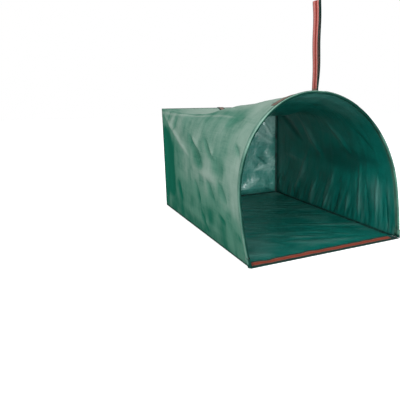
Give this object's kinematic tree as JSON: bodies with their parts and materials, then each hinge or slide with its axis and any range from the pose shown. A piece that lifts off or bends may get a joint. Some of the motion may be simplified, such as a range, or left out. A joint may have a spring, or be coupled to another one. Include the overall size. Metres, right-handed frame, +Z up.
{
  "type": "pop up leaf bag",
  "caption": "Free-standing garden leaf bag with an arched mouth on a bent rod, a flat lip to sweep leaves over, soft woven walls and webbing carrying loops.",
  "frame": {"origin": "middle of the floor panel's underside, halfway between the lip and the back panel", "axes": "+Z up, -Y out of the mouth, +X to the right seen from the mouth"},
  "size_m": [0.6288, 0.8465, 0.7732],
  "materials": {
    "outer_cloth": "sage green laminated woven cloth, soft sheen",
    "inner_cloth": "dark teal laminated woven cloth, glossy",
    "edge_cloth": "light green binding cloth",
    "webbing": "red webbing with dark green edges",
    "rod": "glass fibre rod",
    "cap": "moulded plastic",
    "thread": "dark green sewing thread"
  },
  "bodies": {
    "bag": {"floor_panel": "inner_cloth", "wrap_panel": "outer_cloth", "back_panel": "inner_cloth", "floor_binding_left": "inner_cloth", "floor_binding_right": "inner_cloth", "floor_binding_rear": "inner_cloth", "back_binding_left": "inner_cloth", "back_binding_right": "inner_cloth", "back_binding_top": "inner_cloth", "rear_strip": "webbing", "rear_tack_roof": "thread", "rear_tack_back": "thread"},
    "lip": {"lip_hem": "edge_cloth", "lip_webbing": "webbing", "lip_tack_left": "thread", "lip_tack_right": "thread"},
    "hoop": {"hoop_rod": "rod", "rod_cap_left": "cap", "rod_cap_right": "cap", "hoop_sleeve": "edge_cloth", "corner_pocket_left": "edge_cloth", "corner_pocket_right": "edge_cloth", "top_webbing_left": "webbing", "top_webbing_right": "webbing", "top_tack_left": "thread", "top_tack_right": "thread"},
    "top_handle": {"top_handle": "webbing"},
    "rear_handle": {"rear_handle": "webbing"}
  },
  "joints": [
    {"name": "collapse", "type": "slide", "parent": "bag", "child": "lip", "axis": [0, 1, 0], "range_m": [0, 0.704], "deforming": ["wrap_panel", "floor_panel", "floor_binding_left", "floor_binding_right"]},
    {"name": "hoop_lean", "type": "hinge", "parent": "lip", "child": "hoop", "pos_m": [0, -0.4, 0], "axis": [1, 0, 0], "range_deg": [0, 11.7]},
    {"name": "top_handle_swing", "type": "hinge", "parent": "hoop", "child": "top_handle", "pos_m": [0.01121, -0.2588, 0.50807], "axis": [0, 0.993, -0.1179], "range_deg": [-90, 90]},
    {"name": "rear_handle_swing", "type": "hinge", "parent": "bag", "child": "rear_handle", "pos_m": [-0.015, 0.42213, 0.424], "axis": [1, 0, 0], "range_deg": [0, 180]}
  ],
  "couplings": [
    {"joint": "hoop_lean", "follows": "collapse", "rad_per_m": 0.28833}
  ]
}
